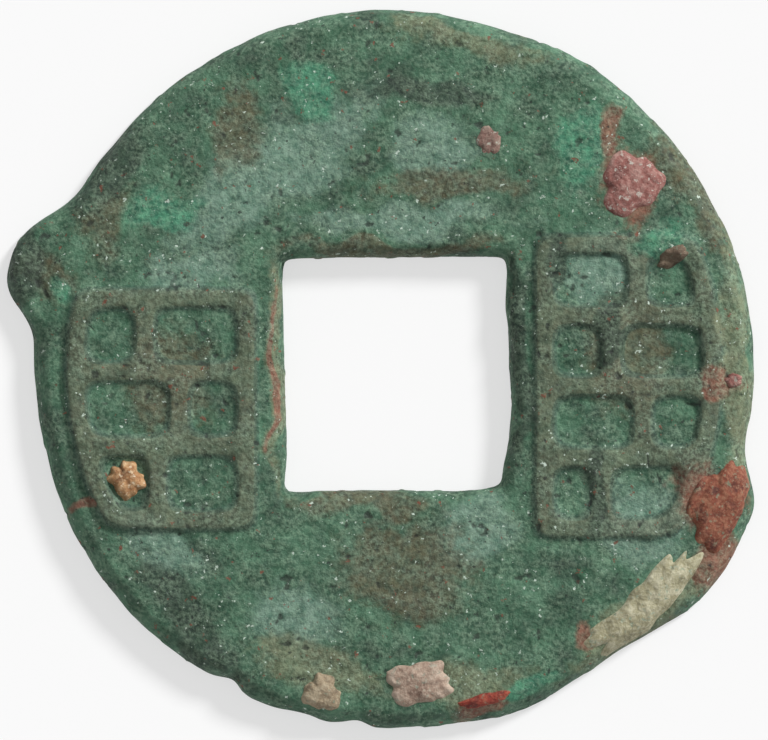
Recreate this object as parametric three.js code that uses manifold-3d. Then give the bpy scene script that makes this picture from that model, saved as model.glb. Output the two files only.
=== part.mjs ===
// A cast bronze cash coin of the broad, flat early kind, lying face up: a round flan with a square hole, the
// broken stub of its pouring gate, two raised lattice panels and the mineral crusts of a long burial.
// Millimetres, +Z up, +X right and +Y up on the face. The coin rests on its plain back, which is at Z 0.
import * as THREE from "three";
import { mergeVertices } from "three/addons/utils/BufferGeometryUtils.js";
import Module from "manifold-3d";

const wasm = await Module();
wasm.setup();

// Flan
const discRadius = 15.0;
const backHeight = 0;
const fieldByHole = 1.34; // height of the face where it starts to roll into the hole
const fieldByRim = 1.18; // and where it starts to roll over the rim
const fieldCrown = 0.07; // how far the middle of the field stands above the line between those two
const aroundSteps = 160;

// The flan's section, from the hole's foot over the face to the rim's foot. Each row is an inset from that edge
// and a height; a row with no height of its own lies on the face.
const holeRoll = { width: 0.85, drop: 1.1 };
const rimRoll = { width: 0.75, drop: 0.92 };
const rollPower = 2.4; // the higher, the flatter the start of a rolled edge
const holeRows = [
  { inset: 0.14, height: backHeight },
  { inset: 0, height: 0.2 },
  { inset: 0.05 },
  { inset: 0.2 },
  { inset: 0.45 },
  { inset: 0.85 },
];
const fieldRows = [0.22, 0.42, 0.62, 0.8];
const rimRows = [
  { inset: 1.25 },
  { inset: 0.75 },
  { inset: 0.4 },
  { inset: 0.15 },
  { inset: 0.03 },
  { inset: 0, height: 0.22 },
  { inset: 0.2, height: backHeight },
];

// Hole: four filed walls, each by the direction it lies in (degrees) and its distance from the hole's centre
const holeCentre = new THREE.Vector2(0.11, -0.23);
const holeWalls = [
  { toward: 0.6, distance: 4.66 },
  { toward: 90.7, distance: 4.86 },
  { toward: 181.6, distance: 4.68 },
  { toward: 269.6, distance: 4.88 },
];
const holeCornerPower = 22; // the higher, the sharper the hole's corners
const holeMarks = [
  { at: 34, before: 9, after: 8, steep: 2, rise: -0.14 }, // the right wall's two waves
  { at: 345, before: 12, after: 12, steep: 2, rise: 0.1 },
  { at: 316, before: 7, after: 8, steep: 2, rise: -0.36 }, // metal left in the lower right corner
  { at: 226, before: 6, after: 7, steep: 2, rise: 0.22 }, // and filed away at the lower left
];

// Rim: where the casting leaves its circle. Angles run anticlockwise from +X.
const rimMarks = [
  { at: 164.8, before: 9.4, after: 6.9, steep: 3, rise: 1.63 }, // stub of the pouring gate
  { at: 335, before: 20, after: 8.8, steep: 3.4, rise: 1.18 }, // swelling at the second gate
  { at: 290.5, before: 7, after: 7, steep: 2, rise: 0.28 },
  { at: 242.5, before: 2.6, after: 2.2, steep: 2, rise: -0.36 }, // chip in the lower rim
  { at: 264, before: 2.4, after: 2, steep: 2, rise: -0.22 },
  { at: 255, before: 3, after: 3, steep: 2, rise: -0.08 },
  { at: 74, before: 8, after: 8, steep: 2, rise: -0.15 },
  { at: 147, before: 12, after: 10, steep: 2, rise: 0.08 },
  { at: 176, before: 5, after: 6, steep: 2, rise: 0.1 },
];
const rimWaves = [
  { count: 7, size: 0.022, phase: 0.6 },
  { count: 19, size: 0.016, phase: 2.1 },
  { count: 41, size: 0.012, phase: 4.4 },
];
const gateStep = { from: 14.35, to: 15.3, drop: 0.26 }; // the gate metal lies lower than the face

// Raised lattice
const ribWidth = 0.82;
const ribTop = 1.64;
const ribFoot = 0.9;
const ribDraft = 0.24; // how far a rib's side leans in on its way up
const ribDraftHeight = 0.32;
const latticeRadius = 13.75; // the panels' outer side follows the rim
const latticeCorner = 0.45;
const cellCorner = 0.55;
const wideCellShare = 0.63; // of a row's width, less the rib between its two cells
const panels = [
  { side: -1, inner: 5.75, top: 3.35, bottom: -6.75, rows: 3 },
  { side: 1, inner: 5.85, top: 5.6, bottom: -7.1, rows: 4 },
];

// Crusts
const crustGap = 0.03; // between a crust and the casting that it sits on
const crustDepth = 0.35; // how deep a crust's plug starts out, before the casting is cut from it
const crustLowest = 0.3; // no crust reaches round under the rim
const crustEdge = 0.1; // and none stands out past it
const crustRings = [0.35, 0.66, 0.88, 1];
const crustSteps = 26;
const crustLobeSize = 0.12; // how far a crust's outline swings in and out, as a share of its size
const crustWaveSize = 0.06; // and the finer waves on that
const crustLumpSize = 0.15; // how uneven its dome is, as a share of its height
// Each crust is placed by its direction and distance from the disc's centre, and its two half sizes run round
// the coin and out from it, turned by some degrees.
const crusts = [
  { name: "iron_red_crust", angle: 337.2, radius: 14.75, half: [1.95, 1.15], turn: 0, thick: 0.3, lobes: 3 },
  { name: "buff_lime_crust", angle: 316.5, radius: 14.45, half: [3.2, 0.92], turn: 2, thick: 0.24, lobes: 4 },
  { name: "cuprite_scab", angle: 38, radius: 12.55, half: [1.3, 1.45], turn: -20, thick: 0.22, lobes: 3 },
  { name: "small_cuprite_scab", angle: 67.4, radius: 10.3, half: [0.55, 0.7], turn: 0, thick: 0.12, lobes: 2 },
  { name: "rim_cuprite_scab", angle: 358, radius: 14.2, half: [0.3, 0.42], turn: 0, thick: 0.13, lobes: 2 },
  { name: "brown_scale_bar", angle: 21.8, radius: 12.5, half: [0.36, 0.82], turn: -8, thick: 0.13, lobes: 2 },
  { name: "ochre_earth_lump", angle: 202.6, radius: 12.1, half: [0.82, 0.74], turn: 0, thick: 0.36, lobes: 4 },
  { name: "pink_lime_crust", angle: 274.6, radius: 13.2, half: [1.5, 1.0], turn: 0, thick: 0.26, lobes: 4 },
  { name: "red_oxide_scab", angle: 285.2, radius: 14.35, half: [1.1, 0.32], turn: 0, thick: 0.16, lobes: 2 },
  { name: "tan_lime_nodule", angle: 257.4, radius: 13.9, half: [0.84, 0.8], turn: 0, thick: 0.26, lobes: 3 },
];

// Finishes
const bronze = { colour: 0x3f6f5e, roughness: 0.82, metalness: 0.15 };
const mineral = { roughness: 0.95, metalness: 0 };
const crustFinish = {
  iron_red_crust: 0x7a3a2a,
  buff_lime_crust: 0xa69d7d,
  cuprite_scab: 0x9a5a54,
  small_cuprite_scab: 0x84635a,
  rim_cuprite_scab: 0x8a564f,
  brown_scale_bar: 0x6a5644,
  ochre_earth_lump: 0xb98a5c,
  pink_lime_crust: 0xb09684,
  red_oxide_scab: 0x8a2f22,
  tan_lime_nodule: 0xa08a70,
};

// An edge's local mark: a flat-topped swell or dent that dies away at its own rate on each side.
function markRise(marks, angle) {
  let rise = 0;
  for (const mark of marks) {
    const away = THREE.MathUtils.euclideanModulo(angle - mark.at + 180, 360) - 180;
    const width = away < 0 ? mark.before : mark.after;
    rise += mark.rise * Math.exp(-Math.pow(Math.abs(away) / width, mark.steep));
  }
  return rise;
}

// The rim's point in a direction from the disc's centre.
function rimPoint(angle) {
  const radians = THREE.MathUtils.degToRad(angle);
  let radius = discRadius + markRise(rimMarks, angle);
  for (const wave of rimWaves) {
    radius += wave.size * Math.sin(wave.count * radians + wave.phase);
  }
  return new THREE.Vector2(Math.cos(radians), Math.sin(radians)).multiplyScalar(radius);
}

// The hole's edge in the same direction. A high power mean of the four walls gives straight sides and round corners.
function holePoint(angle) {
  let sum = 0;
  for (const wall of holeWalls) {
    const facing = Math.cos(THREE.MathUtils.degToRad(angle - wall.toward));
    sum += Math.pow(Math.max(facing, 0) / wall.distance, holeCornerPower);
  }
  const radius = Math.pow(sum, -1 / holeCornerPower) + markRise(holeMarks, angle);
  const radians = THREE.MathUtils.degToRad(angle);
  return new THREE.Vector2(Math.cos(radians), Math.sin(radians)).multiplyScalar(radius).add(holeCentre);
}

// How far a quarter-round edge has dropped at some inset from it.
function rollDrop(roll, inset) {
  const part = THREE.MathUtils.clamp(1 - inset / roll.width, 0, 1);
  return roll.drop * (1 - Math.sqrt(1 - Math.pow(part, rollPower)));
}

// The flan's face height, by how far a point is from the hole, from the rim and from the disc's centre.
function faceHeight(fromHole, fromRim, radius) {
  const part = THREE.MathUtils.clamp(fromHole / (fromHole + fromRim), 0, 1);
  const field = THREE.MathUtils.lerp(fieldByHole, fieldByRim, part) + fieldCrown * Math.sin(Math.PI * part);
  const step = gateStep.drop * THREE.MathUtils.smoothstep(radius, gateStep.from, gateStep.to);
  return field - step - rollDrop(holeRoll, fromHole) - rollDrop(rimRoll, fromRim);
}

// The same height for any point of the face.
function faceHeightAt(x, y) {
  const angle = THREE.MathUtils.radToDeg(Math.atan2(y, x));
  const radius = Math.hypot(x, y);
  return faceHeight(radius - holePoint(angle).length(), rimPoint(angle).length() - radius, radius);
}

// One step round the coin: its whole section, as points.
function sectionAt(angle) {
  const hole = holePoint(angle);
  const rim = rimPoint(angle);
  const width = hole.distanceTo(rim);
  const point = (fromHole, height) => {
    const flat = hole.clone().lerp(rim, fromHole / width);
    return [flat.x, flat.y, height ?? faceHeight(fromHole, width - fromHole, flat.length())];
  };
  return [
    ...holeRows.map((row) => point(row.inset, row.height)),
    ...fieldRows.map((part) => point(part * width)),
    ...rimRows.map((row) => point(width - row.inset, row.height)),
  ];
}

// A closed surface from equal rows of points, joined round in both directions.
function ringSurface(rows) {
  const across = rows[0].length;
  const indices = [];
  rows.forEach((row, i) => {
    const next = (i + 1) % rows.length;
    for (let j = 0; j < across; j += 1) {
      const after = (j + 1) % across;
      const [a, b] = [i * across + j, next * across + j];
      const [c, d] = [next * across + after, i * across + after];
      indices.push(a, d, b, b, d, c);
    }
  });
  const geometry = new THREE.BufferGeometry();
  geometry.setAttribute("position", new THREE.Float32BufferAttribute(rows.flat(2), 3));
  geometry.setIndex(indices);
  return geometry;
}

// three.js geometry to a solid for joining and cutting, and back.
function toSolid(geometry) {
  const bare = geometry.clone();
  bare.deleteAttribute("normal");
  bare.deleteAttribute("uv");
  const merged = mergeVertices(bare, 1e-4);
  const vertProperties = merged.attributes.position.array;
  const triVerts = new Uint32Array(merged.index.array);
  return new wasm.Manifold(new wasm.Mesh({ numProp: 3, vertProperties, triVerts }));
}

function toGeometry(solid) {
  const mesh = solid.getMesh();
  const geometry = new THREE.BufferGeometry();
  geometry.setAttribute("position", new THREE.BufferAttribute(new Float32Array(mesh.vertProperties), 3));
  geometry.setIndex(new THREE.BufferAttribute(new Uint32Array(mesh.triVerts), 1));
  geometry.computeVertexNormals();
  return geometry;
}

// Draws a closed outline through corner points, each corner rounded.
function roundedOutline(path, corners, radius) {
  corners.forEach((corner, i) => {
    const last = corners[(i + corners.length - 1) % corners.length];
    const next = corners[(i + 1) % corners.length];
    const entry = corner.clone().add(last.clone().sub(corner).setLength(radius));
    const exit = corner.clone().add(next.clone().sub(corner).setLength(radius));
    if (i === 0) {
      path.moveTo(entry.x, entry.y);
    } else {
      path.lineTo(entry.x, entry.y);
    }
    path.quadraticCurveTo(corner.x, corner.y, exit.x, exit.y);
  });
  path.closePath();
  return path;
}

// The corners of a field between two heights, from a straight side out to a curve that follows the rim.
function fieldCorners(side, inner, outerRadius, top, bottom, steps) {
  const corners = [new THREE.Vector2(side * inner, bottom)];
  for (let step = 0; step <= steps; step += 1) {
    const y = THREE.MathUtils.lerp(bottom, top, step / steps);
    corners.push(new THREE.Vector2(side * Math.sqrt(outerRadius ** 2 - y ** 2), y));
  }
  corners.push(new THREE.Vector2(side * inner, top));
  return side > 0 ? corners : corners.reverse();
}

// One raised panel: a frame with rows of sunken cells, wide and narrow by turns like laid bricks.
function latticePanel({ side, inner, top, bottom, rows }) {
  const shape = roundedOutline(
    new THREE.Shape(),
    fieldCorners(side, inner, latticeRadius, top, bottom, rows),
    latticeCorner,
  );
  const cellHeight = (top - bottom - ribWidth * (rows + 1)) / rows;
  for (let row = 0; row < rows; row += 1) {
    const cellTop = top - ribWidth - row * (cellHeight + ribWidth);
    const cellBottom = cellTop - cellHeight;
    const nearest = inner + ribWidth;
    const cellRadius = latticeRadius - ribWidth;
    const furthest = Math.sqrt(cellRadius ** 2 - ((cellTop + cellBottom) / 2) ** 2);
    const free = furthest - nearest - ribWidth;
    const split = nearest + free * (row % 2 === 0 ? wideCellShare : 1 - wideCellShare);
    const innerCell = [nearest, split, split, nearest].map(
      (x, i) => new THREE.Vector2(side * x, i < 2 ? cellBottom : cellTop),
    );
    const outerCell = fieldCorners(side, split + ribWidth, cellRadius, cellTop, cellBottom, 1);
    for (const corners of [innerCell, outerCell]) {
      shape.holes.push(roundedOutline(new THREE.Path(), corners, cellCorner));
    }
  }
  const geometry = new THREE.ExtrudeGeometry(shape, {
    depth: ribTop - ribFoot - ribDraftHeight,
    bevelEnabled: true,
    bevelThickness: ribDraftHeight,
    bevelSize: ribDraft,
    bevelOffset: -ribDraft,
    bevelSegments: 2,
    curveSegments: 4,
  });
  return geometry.translate(0, 0, ribFoot);
}

// A crust's plug: an uneven low dome that follows the face, closed by a flat foot under it.
function crustPlug({ angle, radius, half, turn, thick, lobes }) {
  const rotation = THREE.MathUtils.degToRad(turn);
  const place = (along, out, swell) => {
    const direction = THREE.MathUtils.degToRad(angle) + along / radius;
    const rim = rimPoint(THREE.MathUtils.radToDeg(direction)).length();
    const distance = Math.min(radius + out, rim - crustEdge);
    const [x, y] = [distance * Math.cos(direction), distance * Math.sin(direction)];
    return [x, y, Math.max(faceHeightAt(x, y) + swell, crustLowest + crustGap)];
  };
  const rings = crustRings.map((size, ring) => {
    const points = [];
    for (let step = 0; step < crustSteps; step += 1) {
      const around = (2 * Math.PI * step) / crustSteps;
      const lobe = crustLobeSize * Math.sin(lobes * around + lobes);
      const uneven = 1 + lobe + crustWaveSize * Math.sin((2 * lobes + 1) * around);
      const flat = new THREE.Vector2(half[0] * Math.cos(around), -half[1] * Math.sin(around))
        .multiplyScalar(size * uneven)
        .rotateAround(new THREE.Vector2(), rotation);
      const swell = thick * (1 - size ** 3) * (1 + crustLumpSize * Math.sin(3 * around + ring));
      points.push(place(flat.x, flat.y, swell));
    }
    return points;
  });
  const crown = place(0, 0, thick);
  const outermost = rings[rings.length - 1];
  const lowest = Math.min(...outermost.map((point) => point[2]));
  const footHeight = Math.max(lowest - crustDepth, crustLowest);
  const foot = outermost.map(([x, y]) => [x, y, footHeight]);
  const vertices = [crown, ...rings.flat(), ...foot, [crown[0], crown[1], footHeight]];
  const indices = [];
  const first = (ring) => 1 + ring * crustSteps;
  for (let step = 0; step < crustSteps; step += 1) {
    const next = (step + 1) % crustSteps;
    indices.push(0, first(0) + step, first(0) + next);
    for (let ring = 0; ring < crustRings.length; ring += 1) {
      const [a, b] = [first(ring) + step, first(ring) + next];
      const [c, d] = [first(ring + 1) + next, first(ring + 1) + step];
      indices.push(a, d, b, b, d, c);
    }
    const bottom = first(crustRings.length);
    indices.push(vertices.length - 1, bottom + next, bottom + step);
  }
  const geometry = new THREE.BufferGeometry();
  geometry.setAttribute("position", new THREE.Float32BufferAttribute(vertices.flat(), 3));
  geometry.setIndex(indices);
  return geometry;
}

function finish({ colour, roughness, metalness }) {
  return new THREE.MeshStandardMaterial({ color: colour, roughness, metalness });
}

const sections = [];
for (let step = 0; step < aroundSteps; step += 1) {
  sections.push(sectionAt((360 * step) / aroundSteps));
}
let casting = toSolid(ringSurface(sections));
for (const panel of panels) {
  casting = casting.add(toSolid(latticePanel(panel)));
}

// The casting, a little enlarged and raised, cuts each crust's underside to fit it.
const spread = 1 + crustGap / discRadius;
const crustCutter = casting.scale([spread, spread, 1]).translate([0, 0, crustGap]);

const coin = new THREE.Group();
const castingMesh = new THREE.Mesh(toGeometry(casting), finish(bronze));
castingMesh.name = "coin_casting";
coin.add(castingMesh);

for (const crust of crusts) {
  const pieces = toSolid(crustPlug(crust)).subtract(crustCutter).decompose();
  pieces.sort((a, b) => b.volume() - a.volume());
  const material = finish({ colour: crustFinish[crust.name], ...mineral });
  const mesh = new THREE.Mesh(toGeometry(pieces[0]), material);
  mesh.name = crust.name;
  coin.add(mesh);
}

// The origin is under the middle of the coin's outline, gate stub included.
const box = new THREE.Box3().setFromObject(castingMesh);
const middle = box.getCenter(new THREE.Vector3());
coin.position.set(-middle.x, -middle.y, 0);

export default coin;
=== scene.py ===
import bmesh
import bpy
import numpy as np
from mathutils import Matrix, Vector


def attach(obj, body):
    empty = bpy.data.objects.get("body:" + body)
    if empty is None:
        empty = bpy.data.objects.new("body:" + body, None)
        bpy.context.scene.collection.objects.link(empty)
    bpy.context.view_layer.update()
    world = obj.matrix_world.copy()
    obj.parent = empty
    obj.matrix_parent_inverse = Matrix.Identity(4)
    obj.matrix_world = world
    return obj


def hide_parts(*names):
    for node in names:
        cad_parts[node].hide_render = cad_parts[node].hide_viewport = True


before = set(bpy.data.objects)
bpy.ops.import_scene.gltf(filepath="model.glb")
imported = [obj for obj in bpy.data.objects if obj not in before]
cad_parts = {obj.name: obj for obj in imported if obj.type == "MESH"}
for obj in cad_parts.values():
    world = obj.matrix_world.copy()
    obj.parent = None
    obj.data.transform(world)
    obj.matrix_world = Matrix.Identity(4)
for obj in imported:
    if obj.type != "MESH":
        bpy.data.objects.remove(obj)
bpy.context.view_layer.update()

mm = 0.001

# Sizes are in millimetres round the disc's centre, +Y up the face. toFrame shifts them to the frame.
flan = {
    "radius": 15.0,
    "fieldByHole": 1.34,
    "fieldByRim": 1.18,
    "fieldCrown": 0.07,
    "holeRoll": (0.85, 1.1),  # width and drop of the rolled edge
    "rimRoll": (0.75, 0.92),
    "rollPower": 2.4,
    "gateFrom": 14.35,
    "gateTo": 15.3,
    "gateDrop": 0.26,
    "rimFoot": 0.22,  # height where the rim's wall turns in to the back
    "rimFootInset": 0.2,
    "holeFoot": 0.2,
    "holeFootInset": 0.14,
    "edgeInset": 0.04,  # where the face ends and the wall starts
    "outlineSteps": 160,  # steps round the outline whose middle is the frame's origin
    "around": 600,
    "acrossFace": 124,
    "acrossWall": 12,
    "acrossFoot": 4,
    "acrossBack": 30,
}

holeShape = {
    "centre": (0.11, -0.23),
    "walls": ((0.6, 4.66), (90.7, 4.86), (181.6, 4.68), (269.6, 4.88)),  # direction and distance
    "cornerPower": 22,
    # direction, spread before and after it, steepness and rise of each mark
    "marks": ((34, 9, 8, 2, -0.14), (345, 12, 12, 2, 0.1), (316, 7, 8, 2, -0.36), (226, 6, 7, 2, 0.22)),
}

rimShape = {
    "marks": (
        (164.8, 9.4, 6.9, 3, 1.63),  # the gate stub
        (335, 20, 8.8, 3.4, 1.18),  # the swelling at the second gate
        (290.5, 7, 7, 2, 0.28),
        (242.5, 2.6, 2.2, 2, -0.36),
        (264, 2.4, 2, 2, -0.22),
        (255, 3, 3, 2, -0.08),
        (74, 8, 8, 2, -0.15),
        (147, 12, 10, 2, 0.08),
        (176, 5, 6, 2, 0.1),
    ),
    "waves": ((7, 0.022, 0.6), (19, 0.016, 2.1), (41, 0.012, 4.4)),  # count, size, phase
}

lattice = {
    "ribWidth": 0.82,
    "ribTop": 1.63,
    "radius": 13.75,
    "wideShare": 0.63,
    "softness": 0.2,  # half width of a rib's worn side
    "corner": 0.3,
    "wear": 0.16,  # how much of the height is worn off in places
    # side, inner edge, top, bottom, rows of cells
    "panels": ((-1, 5.75, 3.35, -6.75, 3), (1, 5.85, 5.6, -7.1, 4)),
}

# Corrosion relief: size of each kind of unevenness and how far it stands up or goes in
corrosion = {
    "swell": (3.0, 0.035),
    "lump": (0.9, 0.022),
    "grain": (0.3, 0.016),
    "pit": (0.42, 0.06),
    "pitRange": (0.72, 0.84),  # of the noise, from where a pit starts to its full depth
    "pitDetail": (0.6, 0.4, 2.3),  # share of coarse noise, share of fine noise and how much finer that is
    "blister": (0.5, 0.04),
    "blisterRange": (0.7, 0.9),
    "wearSize": 1.6,  # size of the patches where the ribs are worn lower
    "warp": (1.3, 0.55),  # size and reach of the wobble in the borders of the patina and painted shade
    "backBelow": 0.01,  # only the back lies this low
    "seed": 11,
}

noise = {"cells": 40, "seedShift": 0.37}


def say(stage):
    print("cash coin:", stage)


def clamp(values):
    return np.clip(values, 0.0, 1.0)


# 0 below low and 1 above high, with a soft start and end
def smooth(values, low, high):
    part = clamp((values - low) / (high - low))
    return part * part * (3 - 2 * part)


# Smooth noise from 0 to 1 with lumps of the given size
def noiseAt(points, size, seed):
    cells = noise["cells"]
    table = np.random.default_rng(seed).random((cells, cells, cells))
    place = points / size + seed * noise["seedShift"]
    corner = np.floor(place).astype(int)
    part = place - corner
    part = part * part * (3 - 2 * part)
    total = 0.0
    for dx in (0, 1):
        for dy in (0, 1):
            for dz in (0, 1):
                weight = abs(1 - dx - part[..., 0]) * abs(1 - dy - part[..., 1]) * abs(1 - dz - part[..., 2])
                x, y, z = ((corner[..., axis] + step) % cells for axis, step in enumerate((dx, dy, dz)))
                total = total + weight * table[x, y, z]
    return total


# How far an edge's marks push it out, each dying away at its own rate on either side
def markRise(marks, angle):
    rise = np.zeros_like(angle)
    for at, before, after, steep, height in marks:
        away = (angle - at + 180) % 360 - 180
        width = np.where(away < 0, before, after)
        rise += height * np.exp(-((np.abs(away) / width) ** steep))
    return rise


def rimRadius(angle):
    radius = flan["radius"] + markRise(rimShape["marks"], angle)
    for count, size, phase in rimShape["waves"]:
        radius = radius + size * np.sin(count * np.radians(angle) + phase)
    return radius


def onRay(angle, radius):
    return np.stack([np.cos(np.radians(angle)) * radius, np.sin(np.radians(angle)) * radius], axis=-1)


# A high power mean of the four walls gives straight sides and round corners
def holeEdge(angle):
    total = np.zeros_like(angle)
    for toward, distance in holeShape["walls"]:
        facing = np.maximum(np.cos(np.radians(angle - toward)), 0)
        total += (facing / distance) ** holeShape["cornerPower"]
    radius = total ** (-1 / holeShape["cornerPower"]) + markRise(holeShape["marks"], angle)
    return onRay(angle, radius) + np.array(holeShape["centre"])


def rollDrop(roll, inset):
    width, drop = roll
    part = clamp(1 - inset / width)
    return drop * (1 - np.sqrt(1 - part ** flan["rollPower"]))


def faceHeight(fromHole, fromRim, radius):
    part = clamp(fromHole / (fromHole + fromRim))
    field = flan["fieldByHole"] * (1 - part) + flan["fieldByRim"] * part
    field = field + flan["fieldCrown"] * np.sin(np.pi * part)
    step = flan["gateDrop"] * smooth(radius, flan["gateFrom"], flan["gateTo"])
    return field - step - rollDrop(flan["holeRoll"], fromHole) - rollDrop(flan["rimRoll"], fromRim)


def faceHeightAt(x, y):
    angle = np.degrees(np.arctan2(y, x))
    radius = np.hypot(x, y)
    fromHole = radius - np.linalg.norm(holeEdge(angle), axis=-1)
    return faceHeight(fromHole, rimRadius(angle) - radius, radius)


# The least of several distances, rounded where two of them meet
def softLeast(sides):
    sharpness = 1 / lattice["corner"]
    return -np.log(sum(np.exp(-side * sharpness) for side in sides)) / sharpness


# 1 on the lattice's ribs and 0 in its cells and outside the panels
def ribCover(x, y):
    cover = np.zeros_like(x)
    rib, soft = lattice["ribWidth"], lattice["softness"]
    distance = np.hypot(x, y)
    for side, inner, top, bottom, rows in lattice["panels"]:
        across = side * x
        panel = softLeast((across - inner, lattice["radius"] - distance, top - y, y - bottom))
        raised = smooth(panel, -soft, soft)
        cellHeight = (top - bottom - rib * (rows + 1)) / rows
        for row in range(rows):
            cellTop = top - rib - row * (cellHeight + rib)
            cellBottom = cellTop - cellHeight
            nearest = inner + rib
            cellRadius = lattice["radius"] - rib
            furthest = np.sqrt(cellRadius**2 - ((cellTop + cellBottom) / 2) ** 2)
            share = lattice["wideShare"] if row % 2 == 0 else 1 - lattice["wideShare"]
            split = nearest + (furthest - nearest - rib) * share
            ends = ((across - nearest, split - across), (across - split - rib, cellRadius - distance))
            for left, right in ends:
                cell = softLeast((left, right, cellTop - y, y - cellBottom))
                raised = raised * (1 - smooth(cell, -soft, soft))
        cover = np.maximum(cover, raised)
    return cover


stepAngles = np.arange(flan["outlineSteps"]) * 360 / flan["outlineSteps"]
outline = onRay(stepAngles, rimRadius(stepAngles))
middle = (outline.min(axis=0) + outline.max(axis=0)) / 2


def toFrame(points):
    moved = np.array(points, dtype=float)
    moved[..., 0] -= middle[0]
    moved[..., 1] -= middle[1]
    return moved * mm


# A skin through rows of points that run round the coin
def gridMesh(name, points, closedAcross):
    rows, around = points.shape[:2]
    lastRow = rows if closedAcross else rows - 1
    i, j = np.meshgrid(np.arange(lastRow), np.arange(around), indexing="ij")
    iNext, jNext = (i + 1) % rows, (j + 1) % around
    thisRow, nextRow = i * around, iNext * around
    corners = np.stack([nextRow + j, nextRow + jNext, thisRow + jNext, thisRow + j], axis=-1).reshape(-1, 4)
    mesh = bpy.data.meshes.new(name)
    mesh.from_pydata(toFrame(points).reshape(-1, 3).tolist(), [], corners.tolist())
    mesh.update()
    for polygon in mesh.polygons:
        polygon.use_smooth = True
    piece = bpy.data.objects.new(name, mesh)
    bpy.context.scene.collection.objects.link(piece)
    return piece


def addField(piece, name, values):
    field = piece.data.attributes.new(name, "FLOAT", "POINT")
    field.data.foreach_set("value", np.asarray(values, dtype=np.float32).ravel())


def outwardNormals(points):
    alongAcross = np.roll(points, -1, axis=0) - np.roll(points, 1, axis=0)
    alongAround = np.roll(points, -1, axis=1) - np.roll(points, 1, axis=1)
    normals = np.cross(alongAcross, alongAround)
    tiny = 1e-12  # keeps a length of nothing from dividing
    normals /= np.linalg.norm(normals, axis=-1, keepdims=True) + tiny
    return normals


bloomFalloff = 0.7  # the higher, the harder a bloom's edge

# Patina and painted shade, placed one by one: each bloom has its middle, its two half sizes and its turn in
# degrees
patinaAndPaintedShade = {
    "pale": (
        ((-5.0, 8.3), (4.9, 1.5), 36), ((1.7, 9.3), (1.5, 1.1), 0), ((0.3, 6.3), (4.2, 0.6), 0),
        ((-8.3, 4.1), (1.9, 0.9), 0), ((8.6, 4.3), (1.7, 1.5), 0), ((3.4, -6.8), (1.9, 1.3), 20),
        ((10.3, -6.4), (1.7, 1.7), 0), ((-4.3, -10.5), (1.7, 1.3), -15), ((-9.8, -7.4), (1.8, 1.1), -30),
    ),
    # Dark blooms. The strip right of the hole, the band on the rim's lower left, the gate stub's left edge
    # and the thin strips at (8.9, 1.4) and (8.2, -5.3) are painted shade on slopes and walls facing away
    # from the light
    "dark": (
        ((-11.7, 8.5), (1.8, 0.7), 54), ((-8.7, -10.5), (3.8, 1.0), -50), ((1.7, 11.4), (2.7, 0.6), 0),
        ((5.2, 0.3), (0.45, 4.6), 0), ((-15.6, 4.1), (0.7, 1.9), -12), ((8.9, 1.4), (0.4, 1.5), 0),
        ((8.2, -5.3), (0.4, 1.9), 0), ((6.6, 4.4), (0.4, 1.2), 0),
    ),
    "brown": (
        ((-6.6, 9.9), (1.0, 1.7), 0), ((-12.0, 6.4), (0.9, 1.5), -20), ((2.5, 7.8), (3.1, 0.7), 0),
        ((0.5, -8.4), (2.8, 2.0), 0), ((0.0, 5.0), (4.5, 0.4), 0), ((-1.6, -5.6), (2.7, 0.5), 0),
        ((12.8, 7.4), (3.0, 1.0), -58), ((-14.6, 3.9), (1.4, 1.0), -20), ((-9.4, -0.4), (1.8, 2.2), 0),
        ((9.6, 0.6), (1.5, 2.4), 0),
    ),
    "buff": (
        # The first buff bloom, along the top of the rim, is buff tone and partly a painted highlight on the
        # slope facing the light
        ((3.2, 13.7), (3.2, 0.6), -13), ((14.3, 0.1), (0.7, 4.9), 0), ((10.9, -10.2), (4.2, 0.9), 38),
        ((-5.0, -0.2), (0.35, 4.6), 0), ((-3.2, -12.4), (2.6, 0.9), -15), ((2.6, -13.2), (2.8, 0.9), 5),
    ),
    "red": (
        ((13.0, -5.5), (1.2, 1.4), 0), ((13.7, -8.2), (1.0, 1.1), 0), ((7.9, -11.4), (0.4, 0.4), 0),
        ((3.8, -14.1), (1.2, 0.4), 8), ((-5.1, -0.5), (0.14, 3.4), 0), ((9.9, 7.7), (1.4, 1.6), 0),
        ((9.0, 9.7), (0.5, 1.1), 0), ((13.5, -0.6), (0.8, 0.5), 0), ((-12.9, -5.9), (0.25, 0.25), 0),
    ),
    "emerald": (
        ((-3.5, 11.8), (0.9, 1.1), 0), ((7.8, 8.9), (1.0, 1.9), -20), ((11.3, 5.4), (1.1, 0.8), 0),
        ((-14.0, 3.4), (0.5, 0.6), 0), ((5.7, -13.4), (1.4, 0.3), 12), ((-9.6, 6.7), (1.4, 0.8), 0),
    ),
}


def bloomField(x, y, blooms):
    field = np.zeros_like(x)
    for (middleX, middleY), (halfAlong, halfAcross), turn in blooms:
        cosTurn, sinTurn = np.cos(np.radians(turn)), np.sin(np.radians(turn))
        along = ((x - middleX) * cosTurn + (y - middleY) * sinTurn) / halfAlong
        across = ((y - middleY) * cosTurn - (x - middleX) * sinTurn) / halfAcross
        field = np.maximum(field, np.exp(-(along**2 + across**2) * bloomFalloff))
    return field


# A stretch of the section, from one inset and height to the next, without its last row
def band(startInset, endInset, startHeight, endHeight, steps):
    part = np.linspace(0, 1, steps, endpoint=False)[:, None]
    return startInset + part * (endInset - startInset), startHeight + part * (endHeight - startHeight)


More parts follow.
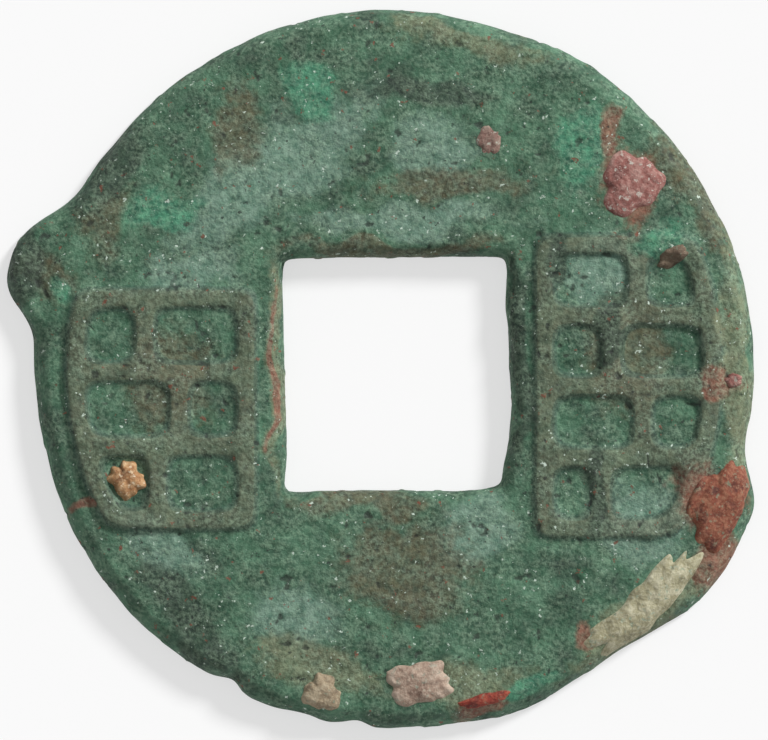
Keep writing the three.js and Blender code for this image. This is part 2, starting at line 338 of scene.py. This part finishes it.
def makeCasting():
    angle = np.arange(flan["around"]) * 360 / flan["around"]
    hole = holeEdge(angle)
    rim = onRay(angle, rimRadius(angle))
    width = np.linalg.norm(rim - hole, axis=-1)
    edge = flan["edgeInset"]
    zero = np.zeros_like(angle)

    def heightAt(fromHole):
        flat = hole + (rim - hole) * (fromHole / width)[..., None]
        return faceHeight(fromHole, width - fromHole, np.linalg.norm(flat, axis=-1))

    faceInset, _ = band(zero + edge, width - edge, zero, zero, flan["acrossFace"])
    backStart, backEnd = width - flan["rimFootInset"], zero + flan["holeFootInset"]
    walls = (
        band(width - edge, width, heightAt(width - edge), zero + flan["rimFoot"], flan["acrossWall"]),
        band(width, backStart, zero + flan["rimFoot"], zero, flan["acrossFoot"]),
        band(backStart, backEnd, zero, zero, flan["acrossBack"]),
        band(backEnd, zero, zero, zero + flan["holeFoot"], flan["acrossFoot"]),
        band(zero, zero + edge, zero + flan["holeFoot"], heightAt(zero + edge), flan["acrossWall"]),
    )
    faceHeights = np.array([heightAt(inset) for inset in faceInset])
    inset = np.concatenate([faceInset] + [wall[0] for wall in walls])
    height = np.concatenate([faceHeights] + [wall[1] for wall in walls])
    flat = hole + (rim - hole) * (inset / width)[..., None]
    x, y = flat[..., 0], flat[..., 1]
    points = np.dstack([x, y, height])

    onFace = np.zeros_like(height)
    onFace[: flan["acrossFace"]] = 1
    seed = corrosion["seed"]
    worn = noiseAt(points, corrosion["wearSize"], seed + 20)
    rib = ribCover(x, y) * onFace
    ribHeight = lattice["ribTop"] - lattice["wear"] * worn
    points[..., 2] += rib * np.maximum(ribHeight - height, 0)

    relief = np.zeros_like(height)
    for turn, name in enumerate(("swell", "lump", "grain")):
        size, rise = corrosion[name]
        relief += rise * (noiseAt(points, size, seed + turn) - 0.5) * 2
    pitSize, pitDepth = corrosion["pit"]
    coarseShare, fineShare, finer = corrosion["pitDetail"]
    pitNoise = coarseShare * noiseAt(points, pitSize, seed + 7)
    pitNoise = pitNoise + fineShare * noiseAt(points, pitSize / finer, seed + 8)
    pits = smooth(pitNoise, *corrosion["pitRange"])
    blisterSize, blisterRise = corrosion["blister"]
    blisters = smooth(noiseAt(points, blisterSize, seed + 9), *corrosion["blisterRange"])
    relief += blisterRise * blisters - pitDepth * pits
    onBack = height < corrosion["backBelow"]
    relief = np.where(onBack, -np.abs(relief), relief)
    points = points + outwardNormals(points) * relief[..., None]
    points[..., 2] = np.maximum(points[..., 2], 0)

    casting = gridMesh("coin_body", points, True)
    addField(casting, "rib", rib)
    addField(casting, "groove", 4 * rib * (1 - rib))  # 1 half way up a rib's side
    addField(casting, "pit", pits)
    warpSize, warpReach = corrosion["warp"]
    warpedX = x + warpReach * (noiseAt(points, warpSize, seed + 31) - 0.5) * 2
    warpedY = y + warpReach * (noiseAt(points, warpSize, seed + 32) - 0.5) * 2
    side = np.where(onBack, -1.0, 1.0)  # seen from below, the back's blooms lie as the face's do from above
    for name, blooms in patinaAndPaintedShade.items():
        addField(casting, name, bloomField(warpedX * side, warpedY, blooms))
    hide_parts("coin_casting")
    return casting


# Crusts: direction, distance, half sizes, turn, thickness and lobes as on the solids
crusts = {
    "iron_red_crust": {"at": (337.2, 14.75), "half": (1.95, 1.15), "turn": 0, "thick": 0.3, "lobes": 3},
    "buff_lime_crust": {"at": (316.5, 14.45), "half": (3.2, 0.92), "turn": 2, "thick": 0.24, "lobes": 4},
    "cuprite_scab": {"at": (38, 12.55), "half": (1.3, 1.45), "turn": -20, "thick": 0.22, "lobes": 3},
    "small_cuprite_scab": {"at": (67.4, 10.3), "half": (0.55, 0.7), "turn": 0, "thick": 0.12, "lobes": 2},
    "rim_cuprite_scab": {"at": (358, 14.2), "half": (0.3, 0.42), "turn": 0, "thick": 0.13, "lobes": 2},
    "brown_scale_bar": {"at": (21.8, 12.5), "half": (0.36, 0.82), "turn": -8, "thick": 0.13, "lobes": 2},
    "ochre_earth_lump": {"at": (202.6, 12.1), "half": (0.82, 0.74), "turn": 0, "thick": 0.36, "lobes": 4},
    "pink_lime_crust": {"at": (274.6, 13.2), "half": (1.5, 1.0), "turn": 0, "thick": 0.26, "lobes": 4},
    "red_oxide_scab": {"at": (285.2, 14.35), "half": (1.1, 0.32), "turn": 0, "thick": 0.16, "lobes": 2},
    "tan_lime_nodule": {"at": (257.4, 13.9), "half": (0.84, 0.8), "turn": 0, "thick": 0.26, "lobes": 3},
}

crustMake = {
    "edge": 0.1,  # kept in from the rim
    "sink": 0.12,  # how far the border dips into the bronze
    "foot": 0.3,  # how far the hidden underside lies below the face
    "lowest": 0.12,
    "rings": 34,
    "footEvery": 3,  # the underside has one ring for this many above
    "steps": 120,
    "lobeSize": 0.12,
    "waveSize": 0.06,
    "ragged": (0.22, 0.16),  # size and reach of the outline's small unevenness
    "roughness": 0.1,
    "lumps": (0.45, 0.18),  # sizes of the coarse and the fine lumps
    "fineLumps": 0.6,  # how strong the fine ones are
    "lumpMiddle": 0.8,  # of both together
    "domePower": 4,  # the higher, the flatter the top and the steeper the border
    "lumpFade": 6,
    "sinkPower": 8,
    "weld": 1e-7,  # metres, closes the middle of the top and of the underside
    "firstSeed": 50,
    "seedStep": 4,
}


def makeCrust(name, shape, seed):
    around = np.arange(crustMake["steps"]) * 2 * np.pi / crustMake["steps"]
    size = np.linspace(0, 1, crustMake["rings"])[:, None]
    lobes = shape["lobes"]
    uneven = 1 + crustMake["lobeSize"] * np.sin(lobes * around + lobes)
    uneven = uneven + crustMake["waveSize"] * np.sin((2 * lobes + 1) * around)
    ringPoints = np.stack([np.cos(around), np.sin(around), np.zeros_like(around)], axis=-1)
    raggedSize, raggedReach = crustMake["ragged"]
    uneven = uneven + raggedReach * (noiseAt(ringPoints, raggedSize, seed) - 0.5)
    along = shape["half"][0] * np.cos(around) * uneven * size
    out = -shape["half"][1] * np.sin(around) * uneven * size
    turn = np.radians(shape["turn"])
    along, out = along * np.cos(turn) - out * np.sin(turn), along * np.sin(turn) + out * np.cos(turn)
    direction, distance = shape["at"]
    angle = direction + np.degrees(along / distance)
    radius = np.minimum(distance + out, rimRadius(angle) - crustMake["edge"])
    flat = onRay(angle, radius)
    x, y = flat[..., 0], flat[..., 1]
    base = faceHeightAt(x, y)
    rib = ribCover(x, y)
    base = base + rib * np.maximum(lattice["ribTop"] - base, 0)
    basePoints = np.dstack([x, y, base])
    coarse, fine = crustMake["lumps"]
    fineLumps = crustMake["fineLumps"] * noiseAt(basePoints, fine, seed + 2)
    lumps = noiseAt(basePoints, coarse, seed + 1) + fineLumps
    lumps = crustMake["roughness"] * (lumps - crustMake["lumpMiddle"]) * (1 - size ** crustMake["lumpFade"])
    dome = shape["thick"] * (1 - size ** crustMake["domePower"])
    top = base + dome + lumps - crustMake["sink"] * size ** crustMake["sinkPower"]
    foot = np.maximum(base - crustMake["foot"], crustMake["lowest"])
    topPoints = np.dstack([x, y, top])
    footPoints = np.dstack([x, y, foot])[:: -crustMake["footEvery"]]
    piece = gridMesh(name + "_skin", np.concatenate([topPoints, footPoints]), False)
    work = bmesh.new()
    work.from_mesh(piece.data)
    bmesh.ops.remove_doubles(work, verts=work.verts, dist=crustMake["weld"])
    bmesh.ops.recalc_face_normals(work, faces=work.faces)
    work.to_mesh(piece.data)
    work.free()
    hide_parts(name)
    return piece


# A colour as it looks on a screen, 0 to 255, turned into the shader's linear values
def tone(red, green, blue):
    parts = []
    for value in (red, green, blue):
        share = value / 255
        parts.append(share / 12.92 if share <= 0.04045 else ((share + 0.055) / 1.055) ** 2.4)
    return (*parts, 1.0)


def newFinish(name):
    material = bpy.data.materials.new(name)
    material.use_nodes = True
    tree = material.node_tree
    return material, tree, tree.nodes["Principled BSDF"]


noiseShift = (0.01, 0.013, 0.007)  # metres, moves each noise away from the others
noiseRoughness = 0.62


# Fractal noise in the piece's own space, with a grain size in millimetres
def noiseNode(tree, size, detail, offset):
    coordinates = tree.nodes.new("ShaderNodeTexCoord")
    shift = tree.nodes.new("ShaderNodeMapping")
    shift.inputs["Location"].default_value = [offset * step for step in noiseShift]
    grain = tree.nodes.new("ShaderNodeTexNoise")
    grain.inputs["Scale"].default_value = 1 / (size * mm)
    grain.inputs["Detail"].default_value = detail
    grain.inputs["Roughness"].default_value = noiseRoughness
    tree.links.new(coordinates.outputs["Object"], shift.inputs["Vector"])
    tree.links.new(shift.outputs["Vector"], grain.inputs["Vector"])
    return grain.outputs["Fac"]


def rampNode(tree, factor, stops):
    ramp = tree.nodes.new("ShaderNodeValToRGB")
    elements = ramp.color_ramp.elements
    elements[0].position, elements[0].color = stops[0]
    elements[1].position, elements[1].color = stops[-1]
    for position, colour in stops[1:-1]:
        elements.new(position).color = colour
    tree.links.new(factor, ramp.inputs["Fac"])
    return ramp.outputs["Color"]


def mathNode(tree, operation, first, second):
    node = tree.nodes.new("ShaderNodeMath")
    node.operation = operation
    for socket, value in zip(node.inputs, (first, second)):
        if isinstance(value, (int, float)):
            socket.default_value = value
        else:
            tree.links.new(value, socket)
    return node.outputs[0]


def rangeNode(tree, value, low, high, toLow=0.0, toHigh=1.0):
    node = tree.nodes.new("ShaderNodeMapRange")
    node.interpolation_type = "SMOOTHSTEP"
    tree.links.new(value, node.inputs["Value"])
    node.inputs["From Min"].default_value = low
    node.inputs["From Max"].default_value = high
    node.inputs["To Min"].default_value = toLow
    node.inputs["To Max"].default_value = toHigh
    return node.outputs["Result"]


def mixNode(tree, factor, under, over):
    mix = tree.nodes.new("ShaderNodeMix")
    mix.data_type = "RGBA"
    tree.links.new(factor, mix.inputs["Factor"])
    tree.links.new(under, mix.inputs["A"])
    if isinstance(over, tuple):
        mix.inputs["B"].default_value = over
    else:
        tree.links.new(over, mix.inputs["B"])
    return mix.outputs["Result"]


def fieldNode(tree, name):
    node = tree.nodes.new("ShaderNodeAttribute")
    node.attribute_name = name
    return node.outputs["Fac"]


def bumpNode(tree, shader, height, distance):
    bump = tree.nodes.new("ShaderNodeBump")
    bump.inputs["Strength"].default_value = 1.0
    bump.inputs["Distance"].default_value = distance * mm
    tree.links.new(height, bump.inputs["Height"])
    tree.links.new(bump.outputs["Normal"], shader.inputs["Normal"])


bronzeFinishAndPaintedShade = {
    "ground": (tone(20, 52, 36), tone(50, 92, 68), tone(84, 128, 100)),
    "groundStops": (0.32, 0.5, 0.68),
    "groundSize": 1.5,
    "edgeSize": 0.6,  # of the noise that frays the blooms
    "edgeRange": (0.8, 1.2),
    "tintSize": 0.4,
    "tintStops": (0.36, 0.64),
    "grain": (tone(16, 28, 20), tone(146, 170, 144)),
    "grainSize": 0.17,
    "grainStops": (0.4, 0.62),
    "grainPatch": 0.9,  # size of the patches with more or less grain
    "grainShare": (0.12, 0.42),
    "bump": (0.5, 0.07),  # size of the coarser bumps and height of all
    "roughness": (0.62, 0.92),
    "noiseRange": (0.3, 0.7),  # where nearly all of a noise lies
    # how strongly each bloom shows, and its darker and lighter tone
    "pale": (0.85, tone(82, 120, 102), tone(134, 164, 146)),
    # the dark blooms' tones, also used for their painted shade
    "dark": (0.85, tone(14, 30, 22), tone(38, 62, 46)),
    "brown": (0.75, tone(52, 48, 32), tone(104, 92, 66)),
    "buff": (0.7, tone(84, 90, 64), tone(142, 144, 112)),
    "red": (0.8, tone(104, 48, 34), tone(160, 98, 80)),
    "emerald": (0.85, tone(30, 96, 74), tone(84, 160, 124)),
    "rib": (0.7, tone(64, 68, 52), tone(112, 114, 90)),
    "groove": (0.6, tone(18, 44, 36), tone(44, 82, 68)),
    # colour, size and noise offset of each kind of speck
    "specks": (
        (tone(204, 220, 206), 0.26, 6),
        (tone(116, 62, 44), 0.4, 7),
        (tone(16, 22, 19), 0.3, 8),
    ),
    "speckRange": (0.66, 0.71),
    "speckShare": 0.8,
    "pitTones": (tone(16, 22, 19), tone(16, 28, 20)),
    "pitStops": (0.3, 0.7),
    "pitRange": (0.1, 0.9),
    "pitShare": 0.75,
}


def makeBronzeFinishAndPaintedShade():
    material, tree, shader = newFinish("patinated_bronze_skin_and_painted_shade")
    most = bronzeFinishAndPaintedShade["noiseRange"]
    groundStops = tuple(zip(bronzeFinishAndPaintedShade["groundStops"], bronzeFinishAndPaintedShade["ground"]))
    colour = rampNode(tree, noiseNode(tree, bronzeFinishAndPaintedShade["groundSize"], 9, 1), groundStops)
    edge = noiseNode(tree, bronzeFinishAndPaintedShade["edgeSize"], 8, 2)
    tint = noiseNode(tree, bronzeFinishAndPaintedShade["tintSize"], 8, 3)
    # the dark blooms mixed in here include painted shade
    for name in ("pale", "brown", "rib", "groove", "buff", "emerald", "dark", "red"):
        strength, *tones = bronzeFinishAndPaintedShade[name]
        wanted = mathNode(tree, "ADD", fieldNode(tree, name), edge)
        shown = rangeNode(tree, wanted, *bronzeFinishAndPaintedShade["edgeRange"], 0.0, strength)
        tinted = rampNode(tree, tint, tuple(zip(bronzeFinishAndPaintedShade["tintStops"], tones)))
        colour = mixNode(tree, shown, colour, tinted)
    fine = noiseNode(tree, bronzeFinishAndPaintedShade["grainSize"], 4, 4)
    grainColour = rampNode(tree, fine, tuple(zip(bronzeFinishAndPaintedShade["grainStops"], bronzeFinishAndPaintedShade["grain"])))
    patches = noiseNode(tree, bronzeFinishAndPaintedShade["grainPatch"], 3, 5)
    colour = mixNode(tree, rangeNode(tree, patches, *most, *bronzeFinishAndPaintedShade["grainShare"]), colour, grainColour)
    for speckTone, size, offset in bronzeFinishAndPaintedShade["specks"]:
        speckNoise = noiseNode(tree, size, 3, offset)
        speck = rangeNode(tree, speckNoise, *bronzeFinishAndPaintedShade["speckRange"], 0.0, bronzeFinishAndPaintedShade["speckShare"])
        colour = mixNode(tree, speck, colour, speckTone)
    black = rampNode(tree, fine, tuple(zip(bronzeFinishAndPaintedShade["pitStops"], bronzeFinishAndPaintedShade["pitTones"])))
    inPit = rangeNode(tree, fieldNode(tree, "pit"), *bronzeFinishAndPaintedShade["pitRange"], 0.0, bronzeFinishAndPaintedShade["pitShare"])
    colour = mixNode(tree, inPit, colour, black)
    tree.links.new(colour, shader.inputs["Base Color"])
    tree.links.new(rangeNode(tree, edge, *most, *bronzeFinishAndPaintedShade["roughness"]), shader.inputs["Roughness"])
    bumpSize, bumpHeight = bronzeFinishAndPaintedShade["bump"]
    bumpNode(tree, shader, mathNode(tree, "ADD", fine, noiseNode(tree, bumpSize, 6, 9)), bumpHeight)
    return material


# Each crust's slot in the record, its dark, middle and light tones, and the tone of its crystals
crustFinish = {
    "iron_red_crust": (
        "iron_red_crust", tone(72, 32, 24), tone(132, 70, 50), tone(166, 122, 96), tone(96, 128, 108)
    ),
    "buff_lime_crust": (
        "buff_lime_crust", tone(116, 112, 84), tone(168, 162, 130), tone(204, 200, 174), tone(104, 134, 116)
    ),
    "cuprite_scab": (
        "pink_cuprite", tone(92, 50, 46), tone(150, 96, 88), tone(184, 148, 138), tone(206, 214, 202)
    ),
    "small_cuprite_scab": (
        "pink_cuprite", tone(84, 60, 52), tone(134, 102, 92), tone(164, 148, 134), tone(186, 198, 184)
    ),
    "rim_cuprite_scab": (
        "pink_cuprite", tone(92, 50, 46), tone(144, 92, 84), tone(176, 146, 134), tone(196, 200, 186)
    ),
    "brown_scale_bar": (
        "brown_scale", tone(58, 46, 38), tone(106, 88, 72), tone(140, 126, 106), tone(86, 116, 98)
    ),
    "ochre_earth_lump": (
        "ochre_earth", tone(110, 72, 42), tone(178, 130, 86), tone(216, 184, 142), tone(236, 224, 198)
    ),
    "pink_lime_crust": (
        "pink_lime", tone(116, 92, 78), tone(172, 148, 130), tone(204, 186, 168), tone(112, 134, 118)
    ),
    "red_oxide_scab": (
        "red_oxide", tone(84, 24, 18), tone(144, 50, 36), tone(172, 100, 78), tone(98, 120, 104)
    ),
    "tan_lime_nodule": (
        "tan_lime", tone(98, 84, 66), tone(156, 138, 112), tone(192, 178, 152), tone(102, 128, 110)
    ),
}

crustLook = {
    "bodySize": 0.55,
    "bodyStops": (0.32, 0.5, 0.68),
    "grainSize": 0.14,
    "grainStops": (0.42, 0.62),
    "grainShare": (0.1, 0.45),
    "crystalSize": 0.24,
    "crystalRange": (0.58, 0.64),
    "crystalStops": (0.3, 0.8),
    "crystalShare": 0.75,
    "roughness": (0.78, 0.98),
    "noiseRange": (0.3, 0.7),
    "bump": 0.06,
    "firstOffset": 20,
    "offsetStep": 3,
}


def makeCrustFinish(name, offset):
    _, dark, mid, light, crystal = crustFinish[name]
    most = crustLook["noiseRange"]
    material, tree, shader = newFinish(name + "_finish")
    body = noiseNode(tree, crustLook["bodySize"], 9, offset)
    fine = noiseNode(tree, crustLook["grainSize"], 5, offset + 1)
    colour = rampNode(tree, body, tuple(zip(crustLook["bodyStops"], (dark, mid, light))))
    grains = rampNode(tree, fine, tuple(zip(crustLook["grainStops"], (dark, light))))
    colour = mixNode(tree, rangeNode(tree, fine, *most, *crustLook["grainShare"]), colour, grains)
    crystalNoise = noiseNode(tree, crustLook["crystalSize"], 4, offset + 2)
    crystals = rangeNode(tree, crystalNoise, *crustLook["crystalRange"], 0.0, crustLook["crystalShare"])
    crystalColour = rampNode(tree, fine, tuple(zip(crustLook["crystalStops"], (crystal, light))))
    colour = mixNode(tree, crystals, colour, crystalColour)
    tree.links.new(colour, shader.inputs["Base Color"])
    tree.links.new(rangeNode(tree, body, *most, *crustLook["roughness"]), shader.inputs["Roughness"])
    bumpNode(tree, shader, mathNode(tree, "ADD", fine, body), crustLook["bump"])
    return material


studio = {
    "imageMiddle": (-0.430, -0.063),  # the picture's middle, from the disc's centre
    "imageWidth": 32.09,
    "cameraHeight": 200,
    "floorSide": 700,
    "keyStrength": 3.6,
    "keyAngle": 12,
    "keyFrom": (0.75, 0.7, 0.6),  # soft low light from the top right
    "worldLevel": 0.36,
    "floorWhite": 0.6,  # share of the floor that is plain white to the camera
    "floorDrop": 0.02,
    "floorTone": 0.94,
    "floorRoughness": 0.9,
    "nearest": 1,  # what the camera sees starts this far from it
}


# 1 for what the camera sees, also in gloss or through glass
def seenRays(tree):
    path = tree.nodes.new("ShaderNodeLightPath")
    seen = mathNode(tree, "MAXIMUM", path.outputs["Is Camera Ray"], path.outputs["Is Glossy Ray"])
    return mathNode(tree, "MAXIMUM", seen, path.outputs["Is Transmission Ray"])


def makeFloor():
    mesh = bpy.data.meshes.new("studio_floor")
    half = studio["floorSide"] * mm / 2
    corners = [(-half, -half, 0), (half, -half, 0), (half, half, 0), (-half, half, 0)]
    mesh.from_pydata(corners, [], [(0, 1, 2, 3)])
    floor = bpy.data.objects.new("studio_floor", mesh)
    bpy.context.scene.collection.objects.link(floor)
    floor.location.z = -studio["floorDrop"] * mm
    material, tree, shader = newFinish("pale_floor")
    shader.inputs["Base Color"].default_value = (*[studio["floorTone"]] * 3, 1)
    shader.inputs["Roughness"].default_value = studio["floorRoughness"]
    white = tree.nodes.new("ShaderNodeEmission")
    mix = tree.nodes.new("ShaderNodeMixShader")
    tree.links.new(mathNode(tree, "MULTIPLY", seenRays(tree), studio["floorWhite"]), mix.inputs["Fac"])
    tree.links.new(shader.outputs["BSDF"], mix.inputs[1])
    tree.links.new(white.outputs["Emission"], mix.inputs[2])
    tree.links.new(mix.outputs["Shader"], tree.nodes["Material Output"].inputs["Surface"])
    floor.data.materials.append(material)


def makeWorld():
    world = bpy.data.worlds.new("studio_world")
    bpy.context.scene.world = world
    world.use_nodes = True
    tree = world.node_tree
    background = tree.nodes["Background"]
    background.inputs["Color"].default_value = (1, 1, 1, 1)
    level = rangeNode(tree, seenRays(tree), 0, 1, studio["worldLevel"], 1.0)
    tree.links.new(level, background.inputs["Strength"])


def makeKeyLight():
    light = bpy.data.lights.new("key_light", "SUN")
    light.energy = studio["keyStrength"]
    light.angle = np.radians(studio["keyAngle"])
    lamp = bpy.data.objects.new("key_light", light)
    bpy.context.scene.collection.objects.link(lamp)
    lamp.rotation_euler = Vector(studio["keyFrom"]).to_track_quat("Z", "Y").to_euler()


def makeCamera():
    camera = bpy.data.cameras.new("photo_camera")
    camera.type = "ORTHO"
    camera.ortho_scale = studio["imageWidth"] * mm
    camera.clip_start = studio["nearest"] * mm
    holder = bpy.data.objects.new("photo_camera", camera)
    bpy.context.scene.collection.objects.link(holder)
    x, y = studio["imageMiddle"]
    holder.location = toFrame((x, y, studio["cameraHeight"])).tolist()
    bpy.context.scene.camera = holder


makeCamera()
makeWorld()
makeKeyLight()
makeFloor()
say("studio ready")

castingPiece = makeCasting()
castingPiece.data.materials.append(makeBronzeFinishAndPaintedShade())
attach(castingPiece, "root")
say("casting ready")

for number, (crustName, crustShape) in enumerate(crusts.items()):
    seed = crustMake["firstSeed"] + crustMake["seedStep"] * number
    crustPiece = makeCrust(crustName, crustShape, seed)
    offset = crustLook["firstOffset"] + crustLook["offsetStep"] * number
    crustPiece.data.materials.append(makeCrustFinish(crustName, offset))
    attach(crustPiece, "root")
say("crusts ready")

bpy.context.scene.view_settings.view_transform = "Standard"

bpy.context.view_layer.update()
say("size written")
